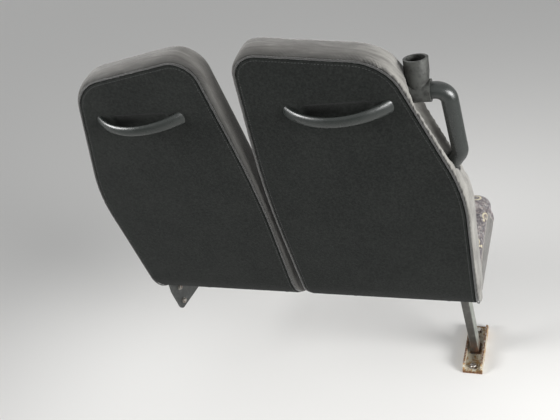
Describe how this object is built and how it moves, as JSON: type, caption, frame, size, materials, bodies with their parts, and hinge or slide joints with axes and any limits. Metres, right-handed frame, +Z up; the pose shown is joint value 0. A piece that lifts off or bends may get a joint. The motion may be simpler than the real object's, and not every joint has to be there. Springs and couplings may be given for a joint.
{
  "type": "double passenger seat of a city bus",
  "caption": "Fixed double seat with high handed backs, crescent grab handles, patterned cushions, a raked aisle leg, a wall bracket and a corner handle with a stanchion socket.",
  "frame": {"origin": "middle of the two floor bolts of the aisle foot, on the floor", "axes": "+X towards the aisle, +Y the way the passengers face, +Z up"},
  "size_m": [0.9235, 0.6339, 1.1102],
  "materials": {
    "back_felt": "dark grey needle felt with fine pale flecks",
    "rim_plush": "taupe grey plush with a short nap",
    "pad_cloth": "dark moquette with pale flecks and cream curls",
    "cushion_cloth": "dark moquette with pale flecks and cream curls, worn at the edge",
    "handle_plastic": "dark grey green moulded plastic, semi-gloss",
    "pan_plastic": "black moulded plastic, matt",
    "cap_plastic": "black plastic, matt",
    "frame_steel": "dark grey powder coat, dusty",
    "foot_steel": "worn grey green paint with brown rust along the edges",
    "socket_metal": "cast, dull grey"
  },
  "bodies": {
    "root": {"back_shell_aisle": "back_felt", "back_rim_aisle": "rim_plush", "back_pad_aisle": "pad_cloth", "bow_handle_aisle": "handle_plastic", "seat_pan_aisle": "pan_plastic", "cushion_aisle": "cushion_cloth", "bracket_outer_aisle": "frame_steel", "bracket_inner_aisle": "frame_steel", "back_shell_window": "back_felt", "back_rim_window": "rim_plush", "back_pad_window": "pad_cloth", "bow_handle_window": "handle_plastic", "seat_pan_window": "pan_plastic", "cushion_window": "cushion_cloth", "bracket_outer_window": "frame_steel", "bracket_inner_window": "frame_steel", "rear_tube": "frame_steel", "front_tube": "frame_steel", "tube_caps": "cap_plastic", "leg_beam": "frame_steel", "leg_strut": "frame_steel", "leg_gusset": "frame_steel", "foot_shoe": "foot_steel", "wall_bracket": "frame_steel", "corner_handle": "handle_plastic", "handle_flange": "handle_plastic", "handle_boss": "cap_plastic", "pole_socket": "socket_metal"}
  },
  "joints": []
}
